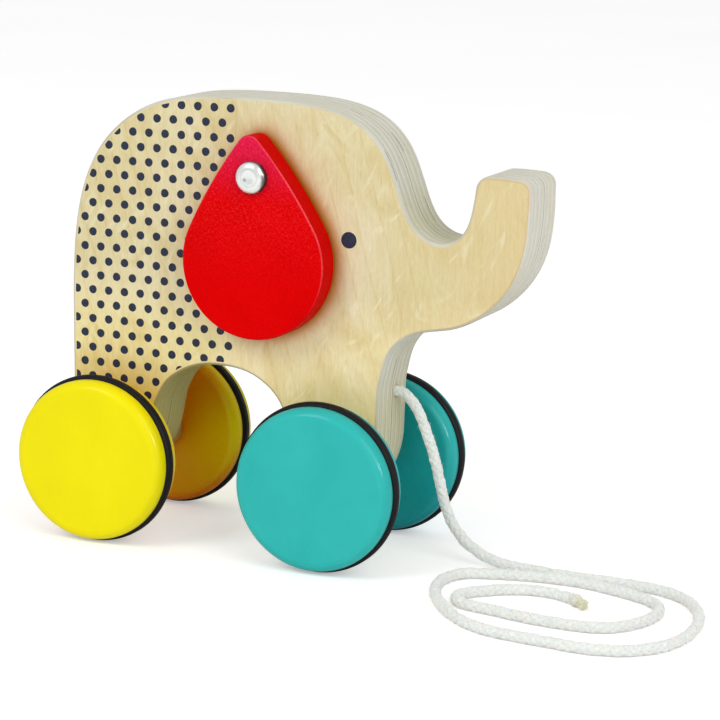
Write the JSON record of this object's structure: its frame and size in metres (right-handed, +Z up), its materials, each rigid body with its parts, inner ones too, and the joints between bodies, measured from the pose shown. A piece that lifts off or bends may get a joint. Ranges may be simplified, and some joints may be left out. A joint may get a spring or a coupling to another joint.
{
  "type": "pull along toy",
  "caption": "Flat plywood elephant on yellow and teal wooden wheels with rubber rings, swinging teardrop ears and a cotton pull cord.",
  "frame": {"origin": "on the floor, midway between the two axles, on the body's middle plane (the glue line of the two boards)", "axes": "+X forward towards the trunk and the cord, +Y to the elephant's left, +Z up"},
  "size_m": [0.2095, 0.0971, 0.1307],
  "materials": {
    "birch_ply": "bare birch plywood, fine sanded, with printed navy dots at the rear and a printed navy eye",
    "beech_dowel": "bare turned beech",
    "yellow_paint": "yellow lacquer on turned wood, satin",
    "teal_paint": "teal lacquer on turned wood, satin",
    "black_rubber": "smooth matt rubber",
    "red_paint": "red lacquer on wood, satin",
    "nickel": "polished nickel plate",
    "nylon": "natural nylon",
    "cotton_cord": "undyed braided cotton, slightly fuzzy"
  },
  "bodies": {
    "body": {"body_board_right": "birch_ply", "body_board_left": "birch_ply", "ear_rivet": "nickel", "ear_rivet_cap": "nickel", "ear_washer_right": "nylon", "ear_washer_left": "nylon", "cord_anchor": "cotton_cord"},
    "rear_wheelset": {"rear_axle": "beech_dowel", "wheel_rear_right": "yellow_paint", "wheel_rear_left": "yellow_paint", "tyre_rear_right": "black_rubber", "tyre_rear_left": "black_rubber", "axle_spacer_rear_right": "beech_dowel", "axle_spacer_rear_left": "beech_dowel"},
    "front_wheelset": {"front_axle": "beech_dowel", "wheel_front_right": "teal_paint", "wheel_front_left": "teal_paint", "tyre_front_right": "black_rubber", "tyre_front_left": "black_rubber", "axle_spacer_front_right": "beech_dowel", "axle_spacer_front_left": "beech_dowel"},
    "right_ear": {"ear_right": "red_paint"},
    "left_ear": {"ear_left": "red_paint"},
    "cord_hanging": {"cord_lead": "cotton_cord"},
    "cord_on_floor": {"cord_coil": "cotton_cord"}
  },
  "joints": [
    {"name": "rear_axle_spin", "type": "hinge", "parent": "body", "child": "rear_wheelset", "pos_m": [-0.0351, 0, 0.0245], "axis": [0, 1, 0], "continuous": true},
    {"name": "front_axle_spin", "type": "hinge", "parent": "body", "child": "front_wheelset", "pos_m": [0.0351, 0, 0.0245], "axis": [0, 1, 0], "continuous": true},
    {"name": "ear_right_swing", "type": "hinge", "parent": "body", "child": "right_ear", "pos_m": [0.00985, 0, 0.1096], "axis": [0, -1, 0], "continuous": true},
    {"name": "ear_left_swing", "type": "hinge", "parent": "body", "child": "left_ear", "pos_m": [0.00985, 0, 0.1096], "axis": [0, -1, 0], "continuous": true},
    {"name": "cord_lift", "type": "hinge", "parent": "body", "child": "cord_hanging", "pos_m": [0.0492, 0.0026, 0.0483], "axis": [0, -1, 0], "range_deg": [0, 35]},
    {"name": "cord_coil_level", "type": "hinge", "parent": "cord_hanging", "child": "cord_on_floor", "pos_m": [0.086, 0.0004, 0.00165], "axis": [0, -1, 0], "range_deg": [-35, 0]}
  ],
  "couplings": [
    {"joint": "cord_coil_level", "follows": "cord_lift", "ratio": -1}
  ]
}
